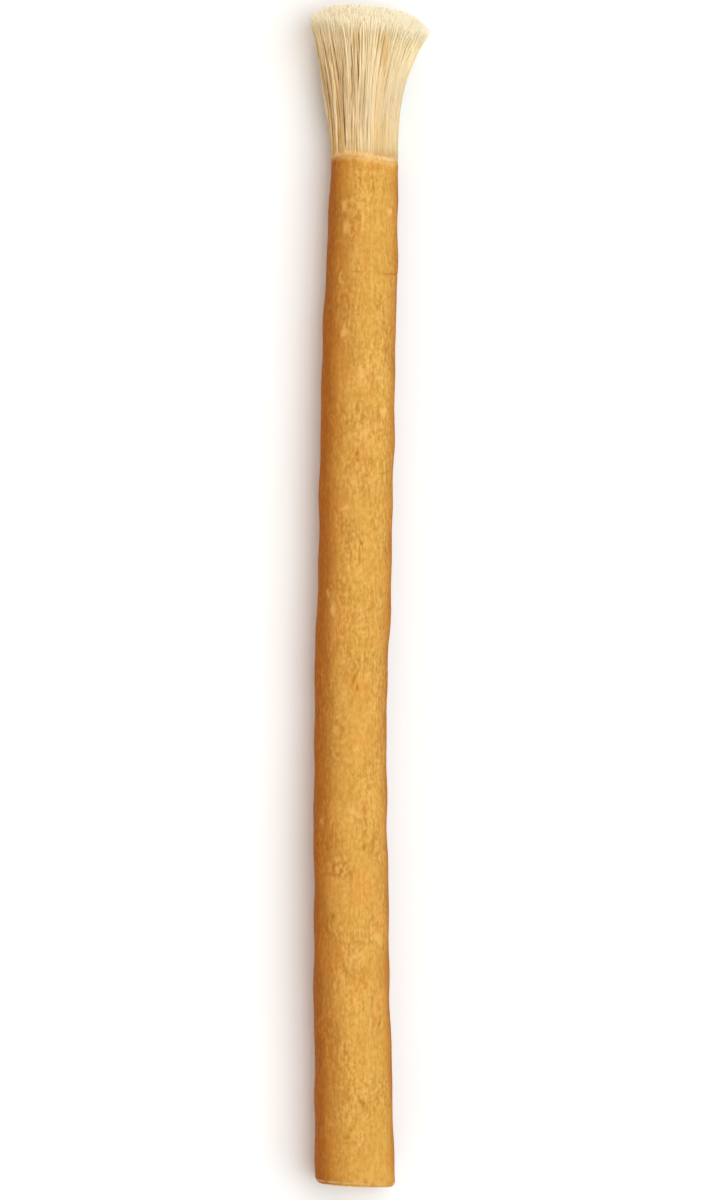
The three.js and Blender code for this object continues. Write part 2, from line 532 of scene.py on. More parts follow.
@dataclass(frozen=True)
class WoodFibre(Finish):
    """Loose fibres of the same wood, chewed or beaten apart and dry.

    To the eye they are soft cream threads, tanner where they leave the wood and almost
    white at their worn tips, each a slightly different shade. Their tint also carries painted
    shade that turns them gold deep in the brush, by its gaps and along its partings, and painted
    light on the left with painted shade on the right.
    """

    roughness: float = 0.6
    specular: float = 0.25
    at_bark: str = "#ecc486"
    # The shades that follow from the bark to the worn tips, and where each comes in
    shades: tuple[tuple[str, Blend], ...] = (
        ("#eed3a0", Blend(0.0, 0.06)),
        ("#f0d9b0", Blend(0.03, 0.3)),
        ("#ffebbe", Blend(0.45, 0.8)),
        ("#fffae2", Blend(0.9, 1.0)),
    )
    # The gold that the tint turns towards: the fibres' own deeper tone and the painted shade in the brush
    deep: str = "#cc982f"
    tinted: Blend = Blend(-0.5, 0.7)

    def material(self) -> bpy.types.Material:
        """Builds the fibres' material.

        Returns:
            The new material.
        """
        made = new_material("wood_fibre")
        tree = made.node_tree
        along = add_node(tree, "ShaderNodeAttribute", attribute_name="along").outputs["Fac"]
        tint = add_node(tree, "ShaderNodeAttribute", attribute_name="tint").outputs["Fac"]
        colour = self.at_bark
        for shade, blend in self.shades:
            colour = mixed(tree, colour, shade, along, blend)
        colour = mixed(tree, self.deep, colour, tint, self.tinted)
        return self._surfaced(made, colour)


@dataclass(frozen=True)
class SawnWood(Finish):
    """End grain of the twig, sawn across and left rough.

    To the eye it is pale cream wood with two faint growth rings, fine rays from a tan pith
    and open pores as small dark dots.
    """

    roughness: float = 0.85
    specular: float = 0.2
    relief_mm: float = 0.05
    body: str = "#e6c88f"
    ring: str = "#c99d5b"
    ring_shown: Blend = Blend(most=0.7)
    ray_shown: Blend = Blend(most=0.45)
    pore: str = "#9c7440"
    pore_edge: Blend = Blend(0.08, 0.25)
    pore_mm: Size = (0.3, 0.3)

    def material(self) -> bpy.types.Material:
        """Builds the sawn end's material.

        Returns:
            The new material.
        """
        made = new_material("sawn_wood")
        tree = made.node_tree
        ringed = add_node(tree, "ShaderNodeAttribute", attribute_name="ringed").outputs["Fac"]
        rayed = add_node(tree, "ShaderNodeAttribute", attribute_name="rayed").outputs["Fac"]
        colour = mixed(tree, self.body, self.ring, ringed, self.ring_shown)
        colour = mixed(tree, colour, self.ring, rayed, self.ray_shown)
        pores = texture(tree, "ShaderNodeTexVoronoi", self.pore_mm, {}).outputs["Distance"]
        colour = mixed(tree, self.pore, colour, pores, self.pore_edge)
        return self._surfaced(made, colour, height=pores)


@dataclass(frozen=True)
class FloorPaper(Finish):
    """Matt white background paper, which the eye reads as a clean pale surface."""

    roughness: float = 0.9
    specular: float = 0.1
    body: str = "#f3f3f3"

    def material(self) -> bpy.types.Material:
        """Builds the floor's material."""
        return self._surfaced(new_material("floor_paper"), self.body)


# The stick


@dataclass(frozen=True)
class Twig:
    """The course of the twig, from its sawn end to where its bark stops.

    The same driving sizes as the solid has, so that every piece lies on it. sideways and
    thickness are at even steps from the sawn end to the edge of the bark.
    """

    cut_y: float = -75.0
    bark_edge_y: float = 55.6
    sideways: tuple[float, ...] = (
        -1.8, -2.1, -2.4, -2.53, -2.5, -2.52,
        -2.28, -1.97, -1.66, -1.34, -1.07, -0.74,
    )
    thickness: tuple[float, ...] = (
        10.05, 9.74, 9.62, 9.55, 9.45, 9.21,
        9.37, 9.15, 9.2, 9.21, 9.03, 8.62,
    )
    depth_share: float = 0.97
    middle_bow: float = 0.3
    # Waves round the twig, along it, their shift and their depth
    waves: tuple[tuple[int, float, float, float], ...] = (
        (2, 0.07, 0.4, 0.07),
        (3, -0.13, 2.1, 0.07),
        (1, 0.31, 1.2, 0.05),
        (4, 0.83, 4.0, 0.04),
        (5, -0.57, 0.3, 0.04),
        (9, -0.05, 0.9, 0.04),
    )
    cut_slant: float = 0.045
    cut_rounding: float = 0.9
    peel_offset: float = 0.1
    peel_slant: float = 0.75
    peel_side: Span = (-0.3, 1.0)
    # Waves of the peeled edge round the twig, their shift and their depth
    peel_waves: tuple[tuple[int, float, float], ...] = ((3, 1.0, 0.06), (7, 0.0, 0.05), (19, 2.0, 0.03))
    underside_angles: int = 181
    underside_rows: int = 400

    def radius(self, y: np.ndarray) -> np.ndarray:
        """Gives the mean radius at y."""
        return spline(self.thickness, (y - self.cut_y) / (self.bark_edge_y - self.cut_y)) / 2

    def middle(self, y: np.ndarray) -> tuple[np.ndarray, np.ndarray]:
        """Finds the twig's middle, before it is set on the floor.

        Args:
            y: The places along it.

        Returns:
            The middle's x and its height at each place.
        """
        t = (y - self.cut_y) / (self.bark_edge_y - self.cut_y)
        bow = self.middle_bow * 4 * np.maximum(t * (1 - t), 0)
        return spline(self.sideways, t), self.radius(y) * self.depth_share + bow

    def outline(self, angle: np.ndarray, y: np.ndarray) -> np.ndarray:
        """Finds how far the smooth bark reaches from the middle.

        Args:
            angle: The angles round the twig.
            y: The places along it.

        Returns:
            The reach at each of them.
        """
        reach = self.radius(y)
        for around, along, shift, depth in self.waves:
            reach = reach + depth * np.sin(around * angle + along * y + shift)
        return reach

    def peel(self, angle: np.ndarray) -> np.ndarray:
        """Gives how far the bark's peeled edge strays along the twig at an angle round it."""
        ragged = sum(depth * np.sin(around * angle + shift) for around, shift, depth in self.peel_waves)
        return self.peel_offset - self.peel_slant * smoothstep(*self.peel_side, np.cos(angle)) + ragged

    def rounding(self, start: float, end: float, steps: int) -> tuple[np.ndarray, np.ndarray]:
        """Lays rows over the sawn end's rounding, and gives their y and their way in from the outline."""
        curl = np.linspace(*np.arccos(1 - np.array([start, end]) / self.cut_rounding), steps)
        return self.cut_y + self.cut_rounding * (1 - np.sin(curl)), self.cut_rounding * (1 - np.cos(curl))

    def lift(self) -> float:
        """Finds how far the twig is raised so that its lowest point is on the floor.

        Returns:
            The height that is added to every point.
        """
        angle, y = np.meshgrid(
            np.linspace(-math.pi, 0, self.underside_angles),
            np.linspace(self.cut_y + self.cut_rounding, self.bark_edge_y, self.underside_rows),
        )
        down = self.outline(angle, y) * np.sin(angle) * self.depth_share
        return -float((self.middle(y)[1] + down).min())

    def point(self, angle: np.ndarray, y: np.ndarray, reach: np.ndarray) -> np.ndarray:
        """Places points round the twig.

        Args:
            angle: The angle round the twig, from +X towards +Z.
            y: The place along it.
            reach: The distance from its middle.

        Returns:
            The points, in millimetres.
        """
        x, z = self.middle(y)
        return np.stack(
            [
                x + reach * np.cos(angle),
                y + np.zeros_like(reach),
                z + reach * np.sin(angle) * self.depth_share + self.lift(),
            ],
            -1,
        )


@dataclass(frozen=True)
class Mark:
    """A mark on the bark, placed as it is seen from above.

    side runs from -1 at the left edge of the stick to 1 at its right edge, and on to 3
    round its underneath. along and across are half its size in millimetres.
    """

    kind: MarkKind
    y: float
    side: float
    along: float
    across: float
    turn: float = 0.0
    strength: float = 1.0


def marks_of(kind: MarkKind, *rows: tuple[float, ...]) -> tuple[Mark, ...]:
    """Makes marks of one kind, from rows of y, side, along, across, turn and strength."""
    return tuple(Mark(kind, *row) for row in rows)


@dataclass(frozen=True)
class UnseenMarks:
    """Random marks for the sides of the bark that aren't seen from above.

    A pair is the least and the most of a mark's own size of that name. The gaps keep
    the marks off the two ends of the bark.
    """

    count: int = 46
    lenticel_share: float = 0.6
    lenticel_across: tuple[float, float] = (0.4, 0.8)
    speck_across: tuple[float, float] = (0.2, 0.35)
    cut_gap: float = 4.0
    peel_gap: float = 3.0
    side: tuple[float, float] = (1.1, 2.9)
    along: tuple[float, float] = (0.4, 1.2)
    turn: tuple[float, float] = (-0.4, 0.4)
    strength: tuple[float, float] = (0.6, 1.0)
    seed: int = 7

    def scatter(self, twig: Twig) -> tuple[Mark, ...]:
        """Scatters the marks over the bark.

        Args:
            twig: The twig that bears them.

        Returns:
            The marks.
        """
        random = np.random.default_rng(self.seed)
        marks = []
        for _ in range(self.count):
            kind = MarkKind.LENTICEL if random.random() < self.lenticel_share else MarkKind.SPECK
            widths = self.lenticel_across if kind is MarkKind.LENTICEL else self.speck_across
            across = random.uniform(*widths)
            y = random.uniform(twig.cut_y + self.cut_gap, twig.bark_edge_y - self.peel_gap)
            side = random.uniform(*self.side)
            along = random.uniform(*self.along)
            turn = random.uniform(*self.turn)
            marks.append(Mark(kind, y, side, along, across, turn, random.uniform(*self.strength)))
        return tuple(marks)


@dataclass(frozen=True)
class Crack:
    """The hairline crack across the bark near the brush.

    It closes on the left and underneath, and is widest open at the right. The spans are
    of the cosine of the angle round the twig, and lower_end of its sine.
    """

    y: float = 41.1
    slope: float = -0.055
    depth: float = 0.09
    half_width: float = 0.12
    stray: float = 0.25
    path: Lumps = Lumps((1.2, 1.0, 1.2), 53.0)
    left_end: Span = (-0.75, -0.4)
    lower_end: Span = (-0.9, 0.1)
    least_open: float = 0.45
    widening: Span = (0.2, 0.9)

    def opening(self, twig: Twig, angle: np.ndarray, y: np.ndarray, points: np.ndarray) -> np.ndarray:
        """Finds how deep points of the bark lie in the crack.

        Args:
            twig: The twig.
            angle: The points' angles round it.
            y: Their places along it.
            points: The points.

        Returns:
            A value from 0 beside the crack to 1 at its bottom.
        """
        x = points[..., 0] - twig.middle(y)[0]
        line = self.y + self.slope * x + self.stray * self.path.at(points * CROSSWISE)
        is_open = smoothstep(*self.left_end, np.cos(angle)) * smoothstep(*self.lower_end, np.sin(angle))
        is_open *= self.least_open + (1 - self.least_open) * smoothstep(*self.widening, np.cos(angle))
        return is_open * bell(y - line, self.half_width)


@dataclass(frozen=True)
class WearAndHighlight:
    """Pale bark, partly worn and partly a painted highlight along rounded edges: a broken
    ring by the sawn end, that end's rim and the peeled edge.

    ring_break_edge is a span of the lumps' height, and ring_lean keeps the ring to the
    left. rim_inset runs in from the outline and lip runs past the edge of the bark.
    """

    ring_y: float = 0.5
    ring_half_width: float = 0.1
    ring_shown: float = 0.8
    ring_breaks: Lumps = Lumps((1.5, 1.0, 1.5), 67.0)
    ring_break_edge: Span = (-0.5, 0.4)
    ring_lean: float = 0.5
    rim_y: float = 1.0
    rim_inset: Span = (0.3, 0.5)
    rim_ragged: float = 0.15
    rim_shown: float = 0.7
    lip: Span = (-0.6, 0.0)
    lip_ragged: float = 0.4
    lip_shown: float = 0.4

    def at(
        self,
        angle: np.ndarray,
        past_cut: np.ndarray,
        past_bark: np.ndarray,
        inset: np.ndarray,
        points: np.ndarray,
        wrinkles: np.ndarray,
    ) -> np.ndarray:
        """Finds how pale points of the bark are, from being worn and from the painted highlight.

        Args:
            angle: Their angles round the twig.
            past_cut: How far along the twig they are from the sawn end.
            past_bark: How far they are past the edge of the bark, so below 0 on it.
            inset: How far in from the outline their rows are.
            points: The points.
            wrinkles: The bark's wrinkles at them, which make the edges ragged.

        Returns:
            A value from 0 to 1 for each point.
        """
        ring = bell(past_cut - self.ring_y, self.ring_half_width)
        breaks = self.ring_breaks.at(points * CROSSWISE) - self.ring_lean * np.cos(angle)
        ring *= self.ring_shown * smoothstep(*self.ring_break_edge, breaks)
        rim = smoothstep(*self.rim_inset, inset + self.rim_ragged * wrinkles) * (past_cut < self.rim_y)
        lip = smoothstep(*self.lip, past_bark + self.lip_ragged * wrinkles)
        return np.maximum.reduce([ring, self.rim_shown * rim, self.lip_shown * lip])


@dataclass
class Handle:
    """The part of the twig that keeps its bark.

    Its relief is lumps of several sizes, each with its depth. patch_edge, pit_edge, pit_rim
    and gap_level are heights of those lumps, from -1 to 1. The bark is painted as lit, palest
    at painted_lit_angle round from the right, and carries painted shade where it turns away from
    there and underneath: painted_lit_edge is a span of the cosine from that angle, and top_edge of
    the angle's sine.
    """

    twig: Twig
    sides: int = 168
    rows: int = 500
    rounding_rows: int = 9
    lip_rows: int = 5
    thickness: float = 0.55
    cut_inset: float = 0.55
    lip: float = 0.2
    tuck: float = 0.1
    ragged_length: float = 5.0
    slanted_length: float = 8.0
    lumps: Lumps = Lumps((4.0, 6.0, 4.0), 3.0)
    lump_depth: float = 0.03
    pebbles: Lumps = Lumps((1.0, 1.3, 1.0), 11.0)
    pebble_depth: float = 0.012
    wrinkles: Lumps = Lumps((0.4, 0.8, 0.4), 17.0)
    wrinkle_depth: float = 0.007
    patches: Lumps = Lumps((4.0, 6.0, 4.0), 23.0)
    patch_edge: Span = (-0.3, 0.5)
    least_rough: float = 0.5
    mark_edges: Lumps = Lumps((0.4, 0.5, 0.4), 31.0)
    mark_ragged: float = 0.45
    mark_fading: Span = (0.1, 1.3)
    lenticel_height: float = 0.035
    speck_depth: float = 0.04
    pits: Lumps = Lumps((0.45, 0.5, 0.45), 41.0)
    pit_edge: Span = (0.0, 0.25)
    pit_depth: float = 0.06
    pit_rim: Span = (0.05, 0.3)
    pit_rim_cork: float = 0.8
    crack: Crack = Crack()
    # How strongly the crack is painted dark as shade
    crack_shade_shown: float = 0.8
    # Painted shade in the low gaps between the pebbles: the height below which it comes, and how strong it
    # is
    gap_level: float = 0.35
    gap_shade_shown: float = 0.5
    # Worn bark and a painted highlight along its rounded edges
    wear_and_highlight: WearAndHighlight = WearAndHighlight()
    # Painted light and shade: the bark is painted as lit round this angle and shaded away from it
    painted_lit_angle: float = math.radians(62)
    painted_lit_edge: Span = (-0.1, 1.02)
    painted_lit_ragged: float = 0.12
    top_edge: Span = (-0.15, 0.8)
    marks: tuple[Mark, ...] = (
        marks_of(
            MarkKind.LENTICEL,
            (49.4, -0.53, 0.9, 0.5),
            (48.8, 0.78, 0.7, 0.6, 0.0, 0.9),
            (46.7, -0.47, 1.1, 0.6, 0.0, 0.9),
            (33.5, -0.44, 1.2, 0.6),
            (28.3, 0.06, 1.4, 0.5, 0.25, 0.8),
            (23.5, 0.69, 0.8, 0.6),
            (20.7, 0.17, 1.0, 0.9, 0.0, 0.75),
            (20.3, -0.2, 0.5, 0.4, 0.0, 0.8),
            (19.3, -0.02, 0.5, 0.4, 0.0, 0.6),
            (11.2, -0.28, 0.4, 0.9, 0.45),
            (11.0, 0.29, 0.3, 0.9, 0.0, 0.5),
            (3.3, 0.15, 0.9, 0.5, -0.4, 0.6),
            (0.4, -0.7, 0.7, 0.4, 0.4, 0.7),
            (-1.5, -0.56, 1.3, 0.5, 0.1),
            (-12.2, -0.17, 1.0, 0.5, 0.0, 0.7),
            (-19.2, 0.16, 0.8, 0.4, 0.0, 0.8),
            (-21.0, 0.17, 0.9, 0.9, 0.0, 0.4),
            (-22.0, 0.52, 0.8, 0.5, 0.0, 0.4),
            (-27.1, 0.08, 0.8, 0.9, 0.0, 0.7),
            (-28.4, -0.78, 0.5, 0.4, 0.0, 0.8),
            (-43.3, 0.73, 0.8, 0.5, 0.3, 0.7),
            (-46.0, 0.17, 1.4, 1.4, 0.0, 0.4),
            (-62.5, 0.3, 0.5, 0.6, 0.0, 0.6),
        )
        + marks_of(
            MarkKind.SPECK,
            (51.5, 0.28, 1.4, 0.15, 0.1, 0.7),
            (23.9, -0.03, 0.9, 0.2, 0.0, 0.8),
            (18.1, 0.0, 0.4, 0.3),
            (17.3, 0.03, 0.4, 0.3, 0.0, 0.9),
            (6.7, 0.18, 0.3, 0.35),
            (5.0, 0.15, 0.9, 0.2, 0.1, 0.8),
            (-10.3, 0.08, 1.0, 0.25, -0.2, 0.9),
            (-11.6, 0.16, 0.6, 0.25, 0.0, 0.9),
            (-31.7, 0.36, 0.5, 0.3),
            (-35.2, 0.0, 0.6, 0.4, 0.0, 0.7),
            (-40.4, -0.45, 0.4, 0.4, 0.5),
            (-47.6, 0.34, 1.0, 0.8, 0.0, 0.3),
            (-54.1, 0.75, 0.4, 0.25),
            (-64.1, 0.2, 0.8, 0.3, 0.4),
            (-68.4, -0.22, 0.4, 0.6, 0.0, 0.5),
        )
        + marks_of(
            MarkKind.PITTED,
            (-16.2, -0.28, 2.2, 1.6, 0.0, 0.6),
            (-20.0, -0.45, 2.0, 1.0, 0.0, 0.6),
            (-34.4, -0.31, 1.7, 1.7),
            (17.9, 0.9, 1.2, 0.9, 0.0, 0.8),
            (40.5, -0.62, 1.6, 0.9, 0.0, 0.7),
        )
    )
    unseen: UnseenMarks = UnseenMarks()

    @staticmethod
    def _mark_angle(side: float) -> float:
        """Turns a mark's side to an angle: -1 to 1 is on top, and 1 to 3 is underneath."""
        return math.acos(side) if side <= 1 else -math.acos(2 - side)

    def _mark_fields(
        self, angle: np.ndarray, y: np.ndarray, points: np.ndarray
    ) -> dict[MarkKind, np.ndarray]:
        """Finds how strongly each kind of mark shows at every point of the bark.

        Args:
            angle: The points' angles round the twig.
            y: Their places along it.
            points: The points.

        Returns:
            A value from 0 to 1 for each point, by kind of mark.
        """
        fields = {kind: np.zeros(angle.shape) for kind in MarkKind}
        ragged = self.mark_ragged * self.mark_edges.at(points)
        radius = self.twig.radius(y)
        for mark in (*self.marks, *self.unseen.scatter(self.twig)):
            turned = (angle - self._mark_angle(mark.side) + math.pi) % (2 * math.pi) - math.pi
            round_mm, along_mm = turned * radius, y - mark.y
            c, s = math.cos(mark.turn), math.sin(mark.turn)
            along = (c * along_mm + s * round_mm) / mark.along
            across = (c * round_mm - s * along_mm) / mark.across
            fading = smoothstep(*self.mark_fading, np.hypot(along, across) + ragged)
            fields[mark.kind] = np.maximum(fields[mark.kind], mark.strength * (1 - fading))
        return fields

    def _rows(self) -> tuple[np.ndarray, np.ndarray]:
        """Lays out the rows of the bark, from inside the sawn end to inside the peeled edge.

        Returns:
            Each row's y, and how far in from the outline it is.
        """
        twig = self.twig
        y_cut, inset_cut = twig.rounding(self.cut_inset, 0, self.rounding_rows)
        lip_y = twig.bark_edge_y - self.lip
        y_body = np.linspace(twig.cut_y + twig.cut_rounding, lip_y, self.rows)[1:]
        curl = np.linspace(0, math.pi / 2, self.lip_rows)[1:]
        y_lip, inset_lip = lip_y + self.lip * np.sin(curl), self.lip * (1 - np.cos(curl))
        first, last = y_cut[0] + self.tuck, twig.bark_edge_y - self.tuck
        inside = self.cut_inset + self.thickness
        y = np.concatenate([[first], y_cut, y_body, y_lip, [last]])
        inset = np.concatenate([[inside], inset_cut, np.zeros(len(y_body)), inset_lip, [self.thickness]])
        return y, inset

    def build(self, finish: DryBark) -> bpy.types.Object:
        """Builds the bark: rounded at the sawn end, ragged where it was peeled.

        Args:
            finish: The bark's finish.

        Returns:
            The new piece.
        """
        twig = self.twig
        y_row, inset = self._rows()
        inset = inset[:, None]
        angle, y = rows_round(self.sides, y_row)
        past_bark = y - twig.bark_edge_y
        y = y + twig.peel(angle) * smoothstep(twig.bark_edge_y - self.ragged_length, twig.bark_edge_y, y)
        base = twig.point(angle, y, twig.outline(angle, y))
        lumps, pebbles, wrinkles = (kind.at(base) for kind in (self.lumps, self.pebbles, self.wrinkles))
        rough = self.least_rough + smoothstep(*self.patch_edge, self.patches.at(base))
        marks = self._mark_fields(angle, y, base)
        pits = self.pits.at(base)
        pitted = smoothstep(*self.pit_edge, pits) * marks[MarkKind.PITTED]
        pit_rims = self.pit_rim_cork * smoothstep(*self.pit_rim, -pits) * marks[MarkKind.PITTED]
        crack = self.crack.opening(twig, angle, y, base)
        relief = (
            self.lump_depth * lumps
            + self.pebble_depth * pebbles * rough
            + self.wrinkle_depth * wrinkles * rough
            + self.lenticel_height * marks[MarkKind.LENTICEL]
            - self.speck_depth * marks[MarkKind.SPECK]
            - self.pit_depth * pitted
            - self.crack.depth * crack
        )
        # Painted shade in the low gaps between the pebbles
        gaps = self.gap_shade_shown * np.clip(-pebbles - self.gap_level, 0, 1)
        reach = twig.outline(angle, y) + relief - inset
        slant = twig.cut_slant * (twig.radius(y) - reach * np.cos(angle))
        placed = twig.point(angle, y, reach)
        placed[..., 1] += slant * smoothstep(twig.cut_y + self.slanted_length, twig.cut_y, y)
        # Where the bark is painted as lit; away from there and underneath it gets painted shade
        painted_lit = smoothstep(*self.painted_lit_edge, np.cos(angle - self.painted_lit_angle) + self.painted_lit_ragged * lumps)
        points, quads = wrapped_grid(placed, close_end=False)
        return make_piece(
            "bark_handle",
            points,
            quads[:, ::-1],
            finish.material(),
            {
                # Painted shade in the crack, the pits and the low gaps
                "hollow_shade": np.clip(np.maximum.reduce([self.crack_shade_shown * crack, pitted, gaps]), 0, 1),
                "corky": np.maximum(marks[MarkKind.LENTICEL], pit_rims),
                "flecked": marks[MarkKind.SPECK],
                # Painted shade on the side away from the light and underneath
                "flank_shade": 1 - painted_lit * smoothstep(*self.top_edge, np.sin(angle)),
                # Worn bark with a painted highlight along the rounded edges
                "worn": self.wear_and_highlight.at(angle, y - twig.cut_y, past_bark, inset, base, wrinkles),
            },
        )


@dataclass
class SawnEnd:
    """The twig's sawn end: a shallow, slightly torn face with a pith and two growth rings.

    Its rows start under the bark's rounding, and shares are of the face's own radius.
    """

    twig: Twig
    sides: int = 168
    rim_rows: int = 6
    rim_inset: Span = (0.4, 0.85)
    face_rows: int = 26
    innermost: float = 0.02
    behind_bark: float = 0.04
    under_bark: float = 0.02
    torn: Lumps = Lumps((0.7, 1.0, 0.25), 71.0)
    fibres: Lumps = Lumps((0.2, 1.0, 0.2), 73.0)
    fibre_share: float = 0.5
    torn_depth: float = 0.03
    pith_share: float = 0.09
    pith_depth: float = 0.25
    middle_depth: float = 0.14
    dish: float = 0.1
    # The growth rings' share of the radius, their half width and how strongly they show
    rings: tuple[tuple[float, float, float], ...] = ((0.62, 0.04, 1.0), (0.85, 0.05, 0.6))
    # The rays are lumps read round a wide circle, so that they change only slowly outward
    rays: Lumps = Lumps((0.6, 0.6, 1.0), 83.0)
    rays_radius: float = 8.0
    rays_change: float = 0.6

    def build(self, finish: SawnWood) -> bpy.types.Object:
        """Builds the sawn end.

        Args:
            finish: The sawn end's finish.

        Returns:
            The new piece.
        """
        twig = self.twig
        y_rim, inset_rim = twig.rounding(*self.rim_inset, self.rim_rows)
        share = np.concatenate([np.ones(self.rim_rows), np.linspace(1, self.innermost, self.face_rows)])
        angle, out = rows_round(self.sides, share)
        y = np.full(angle.shape, twig.cut_y)
        y[: self.rim_rows] = y_rim[:, None] + self.behind_bark
        inset = np.full(len(share), twig.cut_rounding)
        inset[: self.rim_rows] = inset_rim + self.under_bark
        reach = (twig.outline(angle, y) - inset[:, None]) * out
        placed = twig.point(angle, y, reach)
        torn = self.torn.at(placed) + self.fibre_share * self.fibres.at(placed)
        pith = bell(out, self.pith_share)
        placed[..., 1] += twig.cut_slant * (twig.radius(y) - reach * np.cos(angle))
        placed[..., 1] += (
            self.torn_depth * torn
            + self.pith_depth * pith
            + self.middle_depth
            - self.dish * out
            - self.behind_bark * (y > twig.cut_y)
        )
        rings = sum(shown * bell(out - place, half_width) for place, half_width, shown in self.rings)
        around = [self.rays_radius * np.cos(angle), self.rays_radius * np.sin(angle)]
        rays = self.rays.at(np.stack([*around, out * self.rays_change], -1))
        points, quads = wrapped_grid(placed, close_end=True)
        return make_piece(
            "sawn_end",
            points,
            quads,
            finish.material(),
            {
                "ringed": np.append(np.clip(rings + pith, 0, 1), 1.0),
                "rayed": np.append(np.clip(rays, 0, 1), 1.0),
            },
        )


@dataclass
class PeeledBand:
    """The bare wood past the bark, which sinks in slowly among the fibres.

    rows are the rows' places past the bark. The ridges are where the fibres leave the
    wood, with slots between them, and their lumps are read round a circle of ridge_radius.
    """

    twig: Twig
    sides: int = 300
    rows: tuple[float, ...] = (
        -1.5, -1.1, -0.8, -0.5, -0.2, 0.1, 0.4, 0.7,
        1.0, 1.3, 1.7, 2.2, 2.8, 3.6, 4.8, 6.5,
    )
    # How far past the bark, and how far the wood is sunk in there
    sinking: tuple[tuple[float, float], ...] = (
        (-0.8, 0.4), (-0.2, 0.06), (0.1, 0.0), (0.5, 0.04), (1.0, 0.14),
        (1.6, 0.3), (2.3, 0.55), (3.2, 1.0), (6.5, 3.5),
    )
    inset: float = 0.05
    least_reach: float = 0.2
    ridges: Lumps = Lumps((0.25, 1.0, 0.25), 91.0)
    ridge_radius: float = 4.0
    ridge_height: float = 0.05
    ridges_at_bark: float = 0.2
    ridges_grow: float = 1.0
    # Painted shade: how dark the slots between the ridges are painted, then the half width and side of a
    # painted shadow line just past the bark's edge
    slot_shade_shown: float = 1.5
    shadow_line_half_width: float = 0.14
    shadow_line_side: Span = (0.1, 0.7)
    fraying: Span = (0.0, 0.9)

    def build(self, finish: PeeledWood) -> bpy.types.Object:
        """Builds the band.

        Args:
            finish: The peeled wood's finish.

        Returns:
            The new piece.
        """
        twig = self.twig
        edge = twig.bark_edge_y
        angle, y = rows_round(self.sides, np.array(self.rows) + edge)
        past_bark = y - edge - twig.peel(angle)
        sunk = np.interp(past_bark, *np.array(self.sinking).T)
        section = twig.point(angle, np.full(angle.shape, edge), np.full(angle.shape, self.ridge_radius))
        grown = self.ridges_at_bark + smoothstep(edge, edge + self.ridges_grow, y)
        ridges = self.ridges.at(section) * grown
        reach = twig.radius(np.minimum(y, edge)) - self.inset - sunk + self.ridge_height * ridges
        placed = twig.point(angle, y, np.maximum(reach, self.least_reach))
        points, quads = wrapped_grid(placed, close_end=True)
        # A painted shadow line just past the bark's edge on the right, and painted shade in the slots
        # between the ridges
        crease = bell(past_bark, self.shadow_line_half_width) * smoothstep(*self.shadow_line_side, np.cos(angle))
        hollow_shade = np.clip(np.maximum(-self.slot_shade_shown * ridges, crease), 0, 1)
        return make_piece(
            "peeled_wood",
            points,
            quads[:, ::-1],
            finish.material(),
            {
                "frayed": np.append(smoothstep(*self.fraying, past_bark), 1.0),
                "hollow_shade": np.append(hollow_shade, 1.0),
            },
        )


@dataclass(frozen=True)
class FibreSort:
    """One sort of fibre in the brush.

    count is how many there are, and shell how much they gather near the outside. radii
    run from root to tip. start and shortness are shares of the brush's length, and wander
    and fray are how far they stray along the way and at the tip.
    """

    name: str
    count: int
    shell: float
    radii: tuple[float, ...]
    sides: int
    stations: int
    start: tuple[float, float]
    shortness: float
    wander: float
    fray: float
    shade: float


@dataclass(frozen=True)
class Locks:
    """The locks that draw the brush's fibres together.

    centres are their middles in its section, firmness is how strongly each draws, and
    sway is the phase of its waves, across and up.
    """

    centres: np.ndarray
    firmness: np.ndarray
    sway: np.ndarray


@dataclass(frozen=True)
class Strands:
    """Where the fibres of one sort run.

    root is each one's place in the brush's section and lock the number of its lock. t is
    the share of the brush's length at each of its stations, across its place there from
    -1 at the left to 1 at the right, and streaky how much it stands out there.
    """

    root: np.ndarray
    lock: np.ndarray
    t: np.ndarray
    across: np.ndarray
    streaky: np.ndarray


